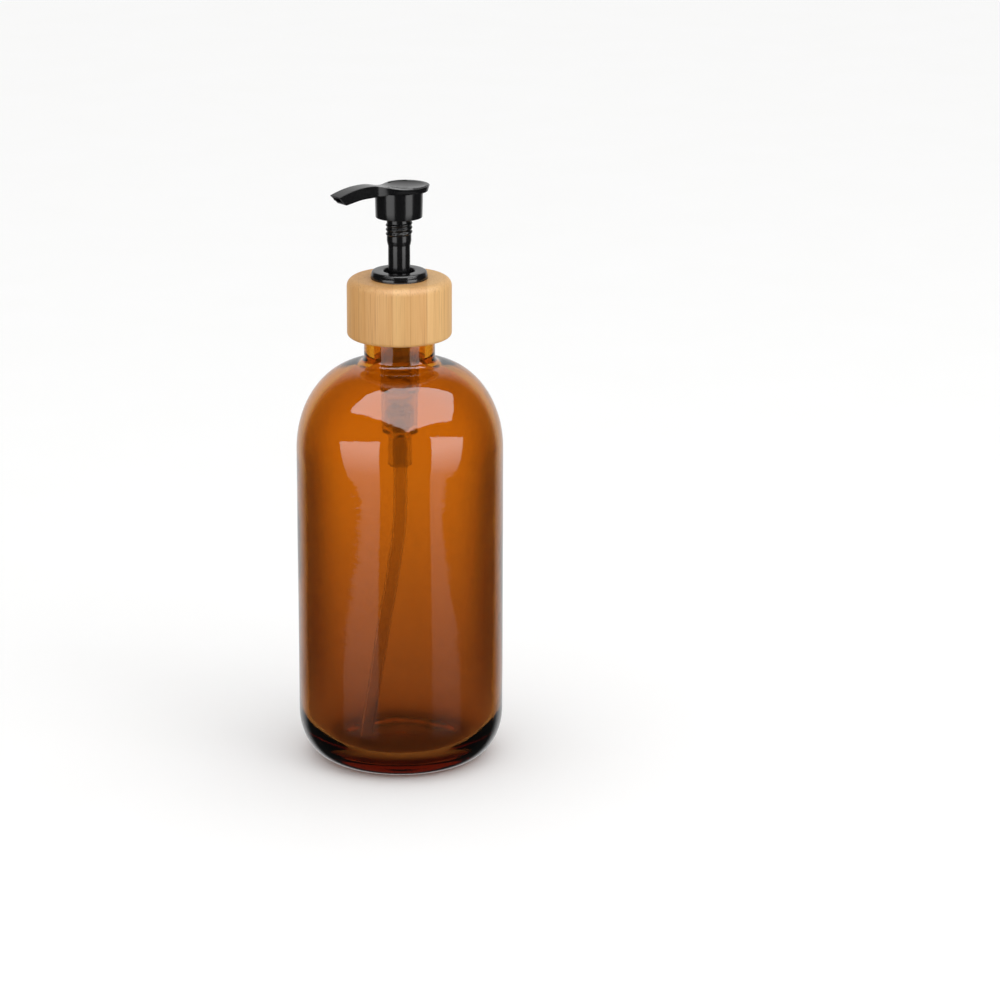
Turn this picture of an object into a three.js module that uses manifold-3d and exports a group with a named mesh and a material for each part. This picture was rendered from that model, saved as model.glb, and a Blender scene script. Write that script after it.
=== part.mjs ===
// Soap pump dispenser: an amber glass bottle, a bamboo-clad screw closure and a lotion pump.
// Millimetres, +Z up. The origin is the centre of the bottle's base. The spout points along -X.

import * as THREE from "three";
import { mergeVertices } from "three/addons/utils/BufferGeometryUtils.js";
import Module from "manifold-3d";

const wasm = await Module();
wasm.setup();

// ---------- Driving dimensions ----------

// Bottle: 500 ml Boston round with a 28-400 screw finish
const BODY_R = 37.5;
const WALL = 2.6;
const FLOOR_T = 6;
const CONTACT_RING = [22.5, 25.5]; // flat ring the bottle stands on
const HEEL_H = 17;
const SHOULDER_Z = 116.5;
const SHOULDER_W = 24.4;
const SHOULDER_H = 31.8;
const NECK_R = 12.8;
const NECK_BORE_R = 9.25;
const NECK_Z = 151.5; // the neck is straight above this
const LIP_Z = 169;

// Screw thread, right-handed, of the bottle and of the closure
const PITCH = 25.4 / 6;
const FINISH_R = 12.6; // root of the bottle's thread
const FINISH_CREST_R = 13.55;
const FINISH_THREAD = { z: 161.9, turns: 1.15, root: 2, crest: 1.1 };
const CLOSURE_BORE_R = 14.05; // root of the closure's thread
const CLOSURE_CREST_R = 13.05;
const CLOSURE_THREAD = { turns: 1.15, root: 1.7, crest: 0.9 };

// Bamboo sleeve and its threaded closure
const CAP_R = 18.85;
const CAP_BOTTOM_Z = 158.4;
const CAP_TOP_Z = 179.8;
const CAP_TOP_ROUND = 3;
const CAP_BOTTOM_ROUND = 1.4;
const CLOSURE_R = 15.6;
const CLOSURE_TOP_Z = 173.4;
const CLOSURE_HUB_R = [9, 10];

// Pump body
const GASKET_T = 1;
const FLANGE_R = 12.4;
const FLANGE_T = 1.2;
const CYLINDER_R = 7; // outside, upper part
const CYLINDER_BORE_R = 6;
const CHAMBER_R = 6.5; // outside, lower part
const CHAMBER_BORE_R = 5.4;
const CHAMBER_TOP_Z = 138;
const CHAMBER_FLOOR_Z = 123.5;
const SOCKET_R = 4.35;
const SOCKET_BOTTOM_Z = 111;
const HOUSING_HUB_R = [7.5, 8.6];
const HOUSING_TOP_Z = 177;

// Collar round the stem
const COLLAR_R = 10.4;
const COLLAR_TOP_Z = 182.4;
const COLLAR_HOLE_R = 5.55;
const COLLAR_FOOT_Z = 168.5; // the piston stops against it

// Stem, piston and valve
const STEM_R = 3.95;
const STEM_BORE_R = 2.4;
const STEM_FOOT_Z = 169.4;
const STEM_TOP_Z = 205;
const PISTON_R = 5.92;
const PISTON_Z = [162.9, 168.3];
const ROD_DISC = { r: 4.7, z: [161.2, 162.7] };
const BALL_R = 2.5;
const BALL_Z = 125.6;
const RETAINER_Z = [126.2, 131];

// Return spring
const SPRING_R = 4.1;
const WIRE_R = 0.5;
const SPRING_TURNS = 9;

// Dip tube
const TUBE_R = 2.5;
const TUBE_BORE_R = 1.8;
const TUBE_BEND_Z = 93;
const TUBE_END = [-17, 7]; // x and z of its lower end

// Head
const BOSS_FOOT_Z = 191.6;
const BOSS_RING_Z = 195.3; // lowest of the rings of its locking thread
const BOSS_RINGS = 3;
const BOSS_RING_PITCH = 1.6;
const BOSS_RING_R = 4.9;
const SKIRT_Z = [202, 211.5];
const SKIRT_R = [8.4, 8.7]; // at its foot and at its top
const SKIRT_BORE_R = 7.4;
const PAD_R = 9.3;
const PAD_X = 2.4; // centre of the pad's round end
const PAD_RIM_Z = 212.9;
const SPOUT_TIP_X = -29;
const SPOUT_HALF_W = 2.75;
const SPOUT_ARCH_Z = 215.4;
const SPOUT_SLANT = 2; // how far the outlet's lower edge is set back
const CHANNEL_WALL = 0.75;

const RUN = 0.1; // clearance of running and pressed fits
const REST = 0.1; // gap under a piece that rests on another
const SLIVER = 0.004; // detail smaller than this is cleaned off after a join or a cut
const ROUND_STEPS = { bottle: 40, cap: 40, pump: 28, small: 20 };

// ---------- Materials ----------

const surface = (color, roughness, metalness = 0) =>
  new THREE.MeshStandardMaterial({ color, roughness, metalness });

const amberGlass = () => {
  const material = surface(0x8a3d08, 0.06);
  material.transparent = true;
  material.opacity = 0.75;
  return material;
};
const bamboo = () => surface(0xe4b675, 0.55);
const blackPolypropylene = () => surface(0x151515, 0.22);
const naturalPolypropylene = () => surface(0xe9e4da, 0.35);
const clearPolyethylene = () => surface(0xd9d2c4, 0.3);
const foam = () => surface(0xf1efe9, 0.9);
const stainlessSteel = () => surface(0xb8bcc0, 0.25, 1);

// ---------- Geometry helpers ----------

// A closed outline in (radius, z), followed upwards on the outside, turned about the Z axis.
function turned(path, steps, arcSteps = 3) {
  const points = path.getPoints(arcSteps);
  if (points[0].x > 0) points.push(points[0].clone());
  return new THREE.LatheGeometry(points, steps).rotateX(Math.PI / 2);
}

// A path through straight corners.
function outline(...corners) {
  const path = new THREE.Path().moveTo(...corners[0]);
  corners.slice(1).forEach((corner) => path.lineTo(...corner));
  return path;
}

// A plain ring or tube between two radii and two heights.
function ring(inner, outer, low, high, steps) {
  return turned(outline([inner, low], [outer, low], [outer, high], [inner, high]), steps);
}

function solid(geometry) {
  const bare = geometry.clone();
  bare.deleteAttribute("normal");
  bare.deleteAttribute("uv");
  const merged = mergeVertices(bare, 1e-4);
  return new wasm.Manifold(
    new wasm.Mesh({
      numProp: 3,
      vertProperties: merged.attributes.position.array,
      triVerts: new Uint32Array(merged.index.array),
    }),
  );
}

function geometryOf(body) {
  const mesh = body.simplify(SLIVER).getMesh();
  return new THREE.BufferGeometry()
    .setAttribute("position", new THREE.BufferAttribute(mesh.vertProperties, 3))
    .setIndex(new THREE.BufferAttribute(mesh.triVerts, 1));
}

const joined = (first, ...others) =>
  others.reduce((body, geometry) => body.add(solid(geometry)), solid(first));
const cut = (body, ...tools) =>
  tools.reduce((rest, geometry) => rest.subtract(solid(geometry)), body);

// A bar extruded straight and then carried vertex by vertex to its final shape.
function shapedBar(section, steps, place) {
  const bar = new THREE.ExtrudeGeometry(section, { depth: 1, steps, bevelEnabled: false });
  const points = bar.attributes.position;
  for (let i = 0; i < points.count; i++) {
    points.setXYZ(i, ...place(points.getX(i), points.getY(i), points.getZ(i)));
  }
  return bar;
}

// A ridge wound on a cylinder, fading into it at both ends. reach is negative for an inner thread.
function threadRidge(radius, reach, lowZ, thread, stepsPerTurn) {
  const side = Math.sign(reach);
  const bury = -0.5 * side;
  const section = new THREE.Shape().moveTo(-thread.root / 2, bury);
  section.lineTo(-thread.root / 2, 0);
  section.lineTo(-thread.crest / 2, reach);
  section.lineTo(thread.crest / 2, reach);
  section.lineTo(thread.root / 2, 0);
  section.lineTo(thread.root / 2, bury);
  const fade = 0.08; // share of the ridge's length over which it fades
  const sink = 0.1 * side; // keeps the faded ends under the surface
  return shapedBar(section, Math.round(thread.turns * stepsPerTurn), (up, out, along) => {
    const height = Math.min(1, along / fade, (1 - along) / fade);
    const r = radius + (out === bury ? bury : out * height - sink);
    const angle = 2 * Math.PI * thread.turns * along;
    return [r * Math.cos(angle), r * Math.sin(angle), lowZ + up + PITCH * thread.turns * along];
  });
}

// ---------- Bottle ----------

function bottleGeometry() {
  const heelW = BODY_R - CONTACT_RING[1];
  const innerR = BODY_R - WALL;
  const path = new THREE.Path().moveTo(0, 2.4);
  path.quadraticCurveTo(14, 2.2, CONTACT_RING[0], 0);
  path.lineTo(CONTACT_RING[1], 0);
  path.absellipse(CONTACT_RING[1], HEEL_H, heelW, HEEL_H, -Math.PI / 2, 0);
  path.absellipse(BODY_R - SHOULDER_W, SHOULDER_Z, SHOULDER_W, SHOULDER_H, 0, 1.43);
  path.quadraticCurveTo(NECK_R, 148.3, NECK_R, NECK_Z);
  path.lineTo(NECK_R, 157.5);
  path.lineTo(FINISH_R, 158);
  path.lineTo(FINISH_R, LIP_Z - 0.8);
  path.lineTo(FINISH_R - 0.8, LIP_Z);
  path.lineTo(NECK_BORE_R + 0.6, LIP_Z);
  path.lineTo(NECK_BORE_R, LIP_Z - 0.8);
  path.lineTo(NECK_BORE_R, 150.5);
  path.quadraticCurveTo(NECK_BORE_R, 146.2, 13.3, 145.2);
  path.absellipse(10.3, 114.5, innerR - 10.3, 31, 1.43, 0, true);
  path.absellipse(innerR - 11, FLOOR_T + 13, 11, 13, 0, -Math.PI / 2, true);
  path.quadraticCurveTo(12, FLOOR_T + 0.4, 0, FLOOR_T + 1.4);
  const glass = turned(path, ROUND_STEPS.bottle);
  const reach = FINISH_CREST_R - FINISH_R;
  return geometryOf(
    joined(glass, threadRidge(FINISH_R, reach + 0.1, FINISH_THREAD.z, FINISH_THREAD, 24)),
  );
}

// ---------- Closure ----------

// The female thread lies half a pitch off the bottle's ridge.
function threadedClosureGeometry() {
  const under = LIP_Z + 2 * REST + GASKET_T + FLANGE_T + REST;
  const shell = turned(
    outline(
      [CLOSURE_BORE_R, CAP_BOTTOM_Z + 0.4],
      [CLOSURE_R, CAP_BOTTOM_Z + 0.4],
      [CLOSURE_R, CLOSURE_TOP_Z],
      [CLOSURE_HUB_R[1], CLOSURE_TOP_Z],
      [CLOSURE_HUB_R[1], CAP_TOP_Z - 0.4],
      [CLOSURE_HUB_R[0], CAP_TOP_Z - 0.4],
      [CLOSURE_HUB_R[0], under],
      [CLOSURE_BORE_R, under],
    ),
    ROUND_STEPS.cap,
  );
  const reach = CLOSURE_CREST_R - CLOSURE_BORE_R;
  const lowZ = FINISH_THREAD.z - PITCH / 2;
  return geometryOf(
    joined(shell, threadRidge(CLOSURE_BORE_R, reach - 0.1, lowZ, CLOSURE_THREAD, 24)),
  );
}

function bambooCapGeometry() {
  const path = new THREE.Path().moveTo(CLOSURE_R + REST, CAP_BOTTOM_Z);
  path.lineTo(CAP_R - CAP_BOTTOM_ROUND, CAP_BOTTOM_Z);
  path.absarc(
    CAP_R - CAP_BOTTOM_ROUND, CAP_BOTTOM_Z + CAP_BOTTOM_ROUND, CAP_BOTTOM_ROUND, -Math.PI / 2, 0,
  );
  path.absarc(CAP_R - CAP_TOP_ROUND, CAP_TOP_Z - CAP_TOP_ROUND, CAP_TOP_ROUND, 0, Math.PI / 2);
  path.lineTo(CLOSURE_HUB_R[1] + REST, CAP_TOP_Z);
  path.lineTo(CLOSURE_HUB_R[1] + REST, CLOSURE_TOP_Z + REST);
  path.lineTo(CLOSURE_R + REST, CLOSURE_TOP_Z + REST);
  return turned(path, ROUND_STEPS.cap, 3);
}

// ---------- Pump body ----------

function gasketGeometry() {
  const low = LIP_Z + REST;
  return ring(CYLINDER_R + 0.4, FLANGE_R, low, low + GASKET_T, ROUND_STEPS.pump);
}

function housingGeometry() {
  const flangeZ = LIP_Z + 2 * REST + GASKET_T;
  return turned(
    outline(
      [TUBE_R + RUN, SOCKET_BOTTOM_Z],
      [SOCKET_R, SOCKET_BOTTOM_Z],
      [SOCKET_R, CHAMBER_FLOOR_Z - 2],
      [CHAMBER_R, CHAMBER_FLOOR_Z],
      [CHAMBER_R, CHAMBER_TOP_Z - 0.5],
      [CYLINDER_R, CHAMBER_TOP_Z],
      [CYLINDER_R, flangeZ],
      [FLANGE_R, flangeZ],
      [FLANGE_R, flangeZ + FLANGE_T],
      [HOUSING_HUB_R[1], flangeZ + FLANGE_T],
      [HOUSING_HUB_R[1], HOUSING_TOP_Z],
      [HOUSING_HUB_R[0], HOUSING_TOP_Z],
      [HOUSING_HUB_R[0], flangeZ + 2.2],
      [CYLINDER_BORE_R, flangeZ + 2.2],
      [CYLINDER_BORE_R, CHAMBER_TOP_Z + 1],
      [CHAMBER_BORE_R, CHAMBER_TOP_Z],
      [CHAMBER_BORE_R, RETAINER_Z[0] - REST],
      [3.4, RETAINER_Z[0] - REST - 0.3],
      [1.6, CHAMBER_FLOOR_Z],
      [1.6, CHAMBER_FLOOR_Z - 2],
      [TUBE_R + RUN, CHAMBER_FLOOR_Z - 2],
    ),
    ROUND_STEPS.pump,
  );
}

// The collar holds the closure down with its rim and guides the stem with its long foot.
function collarGeometry() {
  const path = new THREE.Path().moveTo(STEM_R + 0.2, COLLAR_FOOT_Z);
  path.lineTo(CYLINDER_BORE_R - 2 * RUN, COLLAR_FOOT_Z);
  path.lineTo(CYLINDER_BORE_R - 2 * RUN, 172.7);
  path.lineTo(HOUSING_HUB_R[0] - RUN, 172.7);
  path.lineTo(HOUSING_HUB_R[0] - RUN, HOUSING_TOP_Z + REST);
  path.lineTo(CLOSURE_HUB_R[0] - 0.2, HOUSING_TOP_Z + REST);
  path.lineTo(CLOSURE_HUB_R[0] - 0.2, CAP_TOP_Z + REST);
  path.lineTo(COLLAR_R, CAP_TOP_Z + REST);
  path.lineTo(COLLAR_R, CAP_TOP_Z + 0.8);
  path.lineTo(COLLAR_R - 0.5, COLLAR_TOP_Z - 0.7);
  path.absarc(COLLAR_R - 1.2, COLLAR_TOP_Z - 0.7, 0.7, 0, Math.PI / 2);
  path.lineTo(COLLAR_HOLE_R + 0.4, COLLAR_TOP_Z - 0.2);
  path.lineTo(COLLAR_HOLE_R, COLLAR_TOP_Z - 0.6);
  path.lineTo(COLLAR_HOLE_R, 181.4);
  path.lineTo(4.75, 180.9);
  path.lineTo(4.75, 180.3);
  path.lineTo(COLLAR_HOLE_R, 179.7);
  path.lineTo(COLLAR_HOLE_R, 176.2);
  path.lineTo(STEM_R + 0.2, 175.4);
  return turned(path, ROUND_STEPS.pump, 2);
}

// A cage over the ball, with crossed slots for the flow and a spigot for the spring.
function retainerGeometry() {
  const [low, high] = RETAINER_Z;
  const cage = turned(
    outline(
      [3.5, low],
      [CHAMBER_BORE_R - RUN, low],
      [CHAMBER_BORE_R - RUN, high],
      [3.3, high],
      [3.3, high + 2.4],
      [0, high + 2.4],
      [0, high - 1.2],
      [3.5, high - 1.2],
    ),
    ROUND_STEPS.small,
  );
  const slot = new THREE.BoxGeometry(8, 1.5, 6).translate(0, 0, high + 1);
  return geometryOf(cut(solid(cage), slot, slot.clone().rotateZ(Math.PI / 2)));
}

const ballGeometry = () =>
  new THREE.SphereGeometry(BALL_R, 16, 10).rotateX(Math.PI / 2).translate(0, 0, BALL_Z);

// A helix whose end coils lie close together, as on a spring with closed ends.
class SpringAxis extends THREE.Curve {
  getPoint(t, target = new THREE.Vector3()) {
    const low = RETAINER_Z[1] + REST + WIRE_R;
    const high = ROD_DISC.z[0] - REST - WIRE_R;
    const closed = 2.15 * WIRE_R;
    const turn = t * SPRING_TURNS;
    const openTurns = SPRING_TURNS - 2;
    const open = (high - low - 2 * closed) / openTurns;
    const middle = Math.min(Math.max(turn - 1, 0), openTurns);
    const rise = closed * (turn - middle) + open * middle;
    const angle = 2 * Math.PI * turn;
    return target.set(SPRING_R * Math.cos(angle), SPRING_R * Math.sin(angle), low + rise);
  }
}

function springGeometry() {
  const section = new THREE.Shape().absarc(0, 0, WIRE_R, 0, 2 * Math.PI);
  return new THREE.ExtrudeGeometry(section, {
    steps: SPRING_TURNS * 14,
    curveSegments: 3,
    bevelEnabled: false,
    extrudePath: new SpringAxis(),
  });
}

// Straight down from the housing, then curled out towards the foot of the wall.
class TubeAxis extends THREE.Curve {
  getPoint(t, target = new THREE.Vector3()) {
    const top = CHAMBER_FLOOR_Z - 2 - REST;
    const z = THREE.MathUtils.lerp(top, TUBE_END[1], t);
    const below = Math.max(0, TUBE_BEND_Z - z);
    const run = TUBE_BEND_Z - TUBE_END[1];
    const bend = 14; // length over which the tube takes up its slope
    const drop = below < bend ? (below * below) / (2 * bend) : below - bend / 2;
    return target.set((TUBE_END[0] * drop) / (run - bend / 2), 0, z);
  }
}

function dipTubeGeometry() {
  const section = new THREE.Shape().absarc(0, 0, TUBE_R, 0, 2 * Math.PI);
  section.holes.push(new THREE.Path().absarc(0, 0, TUBE_BORE_R, 0, 2 * Math.PI, true));
  return new THREE.ExtrudeGeometry(section, {
    steps: 18,
    curveSegments: 5,
    bevelEnabled: false,
    extrudePath: new TubeAxis(),
  });
}

// ---------- Stem, piston and valve ----------

const stemGeometry = () =>
  ring(STEM_BORE_R, STEM_R, STEM_FOOT_Z, STEM_TOP_Z, ROUND_STEPS.small);

// Two lips against the cylinder, a waist between them and a seat under it for the rod's disc.
function pistonGeometry() {
  const [low, high] = PISTON_Z;
  return turned(
    outline(
      [3.1, low],
      [4.4, low],
      [5.2, low + 0.6],
      [PISTON_R, low],
      [PISTON_R, low + 0.8],
      [5, low + 1.6],
      [5, high - 1.6],
      [PISTON_R, high - 0.8],
      [PISTON_R, high],
      [5.2, high - 0.6],
      [4.4, high],
      [3.1, high],
    ),
    ROUND_STEPS.pump,
  );
}

// The rod is pressed into the stem; slots beside it lead the soap past the piston's seat.
function rodGeometry() {
  const [low, high] = ROD_DISC.z;
  const plugR = STEM_BORE_R - RUN;
  const rod = turned(
    outline(
      [0, low - 5],
      [2.6, low - 5],
      [3, low - 4],
      [3, low],
      [ROD_DISC.r, low],
      [ROD_DISC.r, high - 0.5],
      [3.2, high],
      [plugR, high + 0.4],
      [plugR, STEM_FOOT_Z + 9],
      [0, STEM_FOOT_Z + 9],
    ),
    ROUND_STEPS.small,
  );
  const slot = new THREE.BoxGeometry(1, 6, 16).translate(0, 4, high + 9);
  return geometryOf(cut(solid(rod), slot, slot.clone().rotateZ(Math.PI)));
}

// ---------- Head ----------

const smooth = (x, low, high) => THREE.MathUtils.smoothstep(x, low, high);

// The pad and spout: an arched bar that spreads from the spout into the pad's round end.
const upperBody = {
  half: (x) => {
    const spread = SPOUT_HALF_W + (PAD_R - SPOUT_HALF_W) * smooth(x, -12, 3);
    const fromCentre = Math.max(0, x - PAD_X) / PAD_R;
    return spread * Math.sqrt(Math.max(0.02, 1 - fromCentre * fromCentre));
  },
  low: (x) => SKIRT_Z[1] + 0.2 - 1.3 * smooth(-x, 17, -SPOUT_TIP_X),
  high: (x) => {
    const arch = SPOUT_ARCH_Z - 2.1 * ((x + 16.5) / 12.5) ** 2;
    return THREE.MathUtils.lerp(arch, PAD_RIM_Z, smooth(x, -14, 3));
  },
};

// The soap's channel inside it: over the skirt's roof, then along the spout.
const channel = {
  half: () => SPOUT_HALF_W - CHANNEL_WALL,
  low: (x) => {
    const inSpout = upperBody.low(x) + CHANNEL_WALL;
    return THREE.MathUtils.lerp(SKIRT_Z[1] - 1.9, inSpout, smooth(-x, 3, 12));
  },
  high: (x) => {
    const inSpout = upperBody.high(x) - CHANNEL_WALL;
    return THREE.MathUtils.lerp(SKIRT_Z[1] - 0.3, inSpout, smooth(-x, 3, 12));
  },
};

// A bar along X whose half width, underside and top are functions of x.
function barAlongX(fromX, toX, steps, corner, shape, slant = 0) {
  return shapedBar(roundedSection(corner), steps, (across, up, along) => {
    const x = THREE.MathUtils.lerp(fromX, toX, along);
    const setBack = slant * (1 - up) * (1 - smooth(x, fromX, fromX + 6));
    const z = THREE.MathUtils.lerp(shape.low(x), shape.high(x), up);
    return [x + setBack, shape.half(x) * across, z];
  });
}

// A unit section, 2 wide and 1 high, with its corners cut.
function roundedSection(corner) {
  const path = new THREE.Shape().moveTo(1, corner);
  path.lineTo(1, 1 - corner);
  path.lineTo(1 - corner, 1);
  path.lineTo(corner - 1, 1);
  path.lineTo(-1, 1 - corner);
  path.lineTo(-1, corner);
  path.lineTo(corner - 1, 0);
  path.lineTo(1 - corner, 0);
  return path;
}

function bossGeometry() {
  const path = new THREE.Path().moveTo(0, BOSS_FOOT_Z);
  path.lineTo(4.2, BOSS_FOOT_Z);
  path.lineTo(4.45, BOSS_FOOT_Z + 1.8);
  for (let i = 0; i < BOSS_RINGS; i++) {
    const z = BOSS_RING_Z + i * BOSS_RING_PITCH;
    path.lineTo(4.5, z - 0.4);
    path.lineTo(BOSS_RING_R, z);
    path.lineTo(BOSS_RING_R, z + 0.5);
    path.lineTo(4.5, z + 0.9);
  }
  path.lineTo(4.8, SKIRT_Z[0] + 2);
  path.lineTo(4.8, SKIRT_Z[1] - 1);
  path.lineTo(0, SKIRT_Z[1] - 1);
  return turned(path, ROUND_STEPS.pump);
}

function skirtGeometry() {
  const roofZ = SKIRT_Z[1] - 3;
  return turned(
    outline(
      [SKIRT_BORE_R, SKIRT_Z[0]],
      [SKIRT_R[0], SKIRT_Z[0]],
      [SKIRT_R[1], SKIRT_Z[1] + 0.3],
      [0, SKIRT_Z[1] + 0.3],
      [0, roofZ],
      [SKIRT_BORE_R, roofZ],
    ),
    ROUND_STEPS.pump,
  );
}

// A shallow dish for the thumb.
function dishGeometry() {
  const path = new THREE.Path().moveTo(0, PAD_RIM_Z - 0.9);
  path.quadraticCurveTo(5.6, PAD_RIM_Z - 0.8, 8, PAD_RIM_Z + 0.05);
  path.lineTo(8, PAD_RIM_Z + 3);
  path.lineTo(0, PAD_RIM_Z + 3);
  return turned(path, ROUND_STEPS.pump).translate(PAD_X + 0.4, 0, 0);
}

function actuatorGeometry() {
  const rearX = PAD_X + PAD_R;
  const padAndSpout = barAlongX(SPOUT_TIP_X, rearX, 22, 0.2, upperBody, SPOUT_SLANT);
  const body = joined(skirtGeometry(), bossGeometry(), padAndSpout);
  const bore = barAlongX(SPOUT_TIP_X - 2, 0, 14, 0.3, channel);
  const well = ring(0, STEM_BORE_R, STEM_TOP_Z - 1, SKIRT_Z[1] - 0.8, ROUND_STEPS.small);
  const stemSocket = ring(0, STEM_R + RUN, BOSS_FOOT_Z - 1, STEM_TOP_Z + REST, ROUND_STEPS.pump);
  return geometryOf(cut(body, dishGeometry(), stemSocket, well, bore));
}

// ---------- Assembly ----------

const dispenser = new THREE.Group();

function place(parent, name, geometry, material) {
  const mesh = new THREE.Mesh(geometry, material);
  mesh.name = name;
  parent.add(mesh);
}

place(dispenser, "bottle", bottleGeometry(), amberGlass());

const pumpBody = new THREE.Group();
place(pumpBody, "pump_housing", housingGeometry(), naturalPolypropylene());
place(pumpBody, "locking_collar", collarGeometry(), blackPolypropylene());
place(pumpBody, "neck_gasket", gasketGeometry(), foam());
place(pumpBody, "dip_tube", dipTubeGeometry(), clearPolyethylene());
place(pumpBody, "ball_retainer", retainerGeometry(), naturalPolypropylene());
place(pumpBody, "inlet_ball", ballGeometry(), stainlessSteel());
place(pumpBody, "return_spring", springGeometry(), stainlessSteel());
dispenser.add(pumpBody);

const closure = new THREE.Group();
place(closure, "threaded_closure", threadedClosureGeometry(), blackPolypropylene());
place(closure, "bamboo_cap", bambooCapGeometry(), bamboo());
pumpBody.add(closure);

const plunger = new THREE.Group();
place(plunger, "piston", pistonGeometry(), naturalPolypropylene());
place(plunger, "piston_rod", rodGeometry(), naturalPolypropylene());
place(plunger, "stem", stemGeometry(), blackPolypropylene());
place(plunger, "actuator", actuatorGeometry(), blackPolypropylene());
pumpBody.add(plunger);

export default dispenser;
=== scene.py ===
"""Soap pump dispenser: its visible model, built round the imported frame, as an add-on.

An amber glass bottle, a bamboo-clad screw cap and a black lotion pump. Lengths are in metres,
+Z is up, the bottle stands on z = 0 and the spout points along -X.
"""

import math

import bpy
from bpy.props import FloatProperty, FloatVectorProperty, PointerProperty
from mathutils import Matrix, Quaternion, Vector


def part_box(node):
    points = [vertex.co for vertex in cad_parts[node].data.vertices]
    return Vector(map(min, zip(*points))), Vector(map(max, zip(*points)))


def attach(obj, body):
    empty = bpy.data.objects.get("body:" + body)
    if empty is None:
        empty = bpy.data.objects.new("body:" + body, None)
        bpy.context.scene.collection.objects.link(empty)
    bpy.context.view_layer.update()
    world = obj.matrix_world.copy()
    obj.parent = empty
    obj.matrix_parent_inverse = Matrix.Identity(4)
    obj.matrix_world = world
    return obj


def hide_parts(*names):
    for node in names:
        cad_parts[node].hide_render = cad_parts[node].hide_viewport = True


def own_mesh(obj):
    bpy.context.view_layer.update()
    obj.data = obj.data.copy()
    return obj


bl_info = {
    "name": "Soap pump dispenser", "version": (1, 0, 0), "blender": (4, 5, 0),
    "location": "3D View > Sidebar > Dispenser",
    "description": "Builds a glass soap dispenser with a bamboo cap and a lotion pump",
    "category": "Object"
}

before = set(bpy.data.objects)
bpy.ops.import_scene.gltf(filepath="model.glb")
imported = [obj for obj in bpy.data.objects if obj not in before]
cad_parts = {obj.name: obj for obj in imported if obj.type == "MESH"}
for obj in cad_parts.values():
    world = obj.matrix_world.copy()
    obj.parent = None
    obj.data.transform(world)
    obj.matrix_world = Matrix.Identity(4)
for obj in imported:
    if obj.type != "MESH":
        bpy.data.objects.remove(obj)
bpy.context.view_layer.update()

MM = 0.001
MERGE = 0.0005 * MM
PITCH = 25.4 / 6 * MM
LOCK_PITCH = 1.6 * MM


# ---------- Settings ----------


def foot(node):
    """Height of a CAD node's lowest point."""
    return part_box(node)[0].z


def top(node):
    """Height of a CAD node's highest point."""
    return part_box(node)[1].z


def reach(node):
    """Outer radius of a CAD node that is turned about Z."""
    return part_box(node)[1].x


def length(name, description, default):
    """A length that a user may change."""
    return FloatProperty(
        name=name, description=description, default=default, min=-1, max=1, subtype="DISTANCE",
        unit="LENGTH", precision=5
    )


def linear(code):
    """An sRGB hex colour as linear red, green and blue."""
    shares = [int(code[i : i + 2], 16) / 255 for i in (1, 3, 5)]
    return tuple(s / 12.92 if s <= 0.04045 else ((s + 0.055) / 1.055) ** 2.4 for s in shares)


def colour(name, description, code):
    """A colour that a user may change."""
    return FloatVectorProperty(
        name=name, description=description, default=linear(code), min=0, max=1, size=3,
        subtype="COLOR"
    )


class BottleSizes(bpy.types.PropertyGroup):
    radius: length("Body radius", "Radius of the straight wall", reach("bottle"))
    wall: length("Wall", "Thickness of the wall under the shoulder", 2.6 * MM)
    heel_wall: length("Heel wall", "Thickness of the wall above the heel", 3.4 * MM)
    floor: length("Floor", "Height of the floor inside", 6.4 * MM)
    foot_radius: length("Foot radius", "Outer radius of the ring it stands on", 25.5 * MM)
    heel: length("Heel height", "Height over which the heel rounds out", 17 * MM)
    shoulder: length("Shoulder start", "Height where the wall starts to turn in", 116.5 * MM)
    shoulder_width: length("Shoulder width", "Half width of the shoulder's ellipse", 24.4 * MM)
    shoulder_height: length("Shoulder height", "Half height of the shoulder's ellipse", 31.8 * MM)
    neck: length("Neck start", "Height where the neck is straight", 151.5 * MM)
    neck_radius: length("Neck radius", "Outer radius of the neck", 12.8 * MM)
    bore: length("Neck bore", "Inner radius of the neck", 9.25 * MM)
    finish: length("Finish radius", "Radius at the root of the thread", 12.6 * MM)
    thread_foot: length("Thread start", "Height of the thread's lower end", 161.9 * MM)
    thread: length("Thread depth", "How far the thread stands out", 0.95 * MM)
    lip: length("Lip height", "Height of the mouth", top("bottle"))
    waves: length("Waves", "Unevenness of the blown wall", 0.12 * MM)


class CapSizes(bpy.types.PropertyGroup):
    radius: length("Sleeve radius", "Outer radius of the bamboo", reach("bamboo_cap"))
    foot: length("Sleeve foot", "Lower face of the bamboo", foot("bamboo_cap"))
    top: length("Sleeve top", "Upper face of the bamboo", top("bamboo_cap"))
    top_round: length("Top rounding", "Radius of the upper edge", 3 * MM)
    foot_round: length("Foot rounding", "Radius of the lower edge", 1.4 * MM)
    closure: length("Closure radius", "Outer radius of the moulded closure", 15.6 * MM)
    closure_top: length("Closure top", "Upper face of the moulded closure", 173.4 * MM)
    bore: length("Closure bore", "Radius at the root of its thread", 14.05 * MM)
    hub: length("Hub radius", "Outer radius of the closure's hub", 10 * MM)
    thread_foot: length("Thread start", "Height of the thread's lower end", 159.8 * MM)
    thread: length("Thread depth", "How far the thread stands in", 0.9 * MM)


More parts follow.
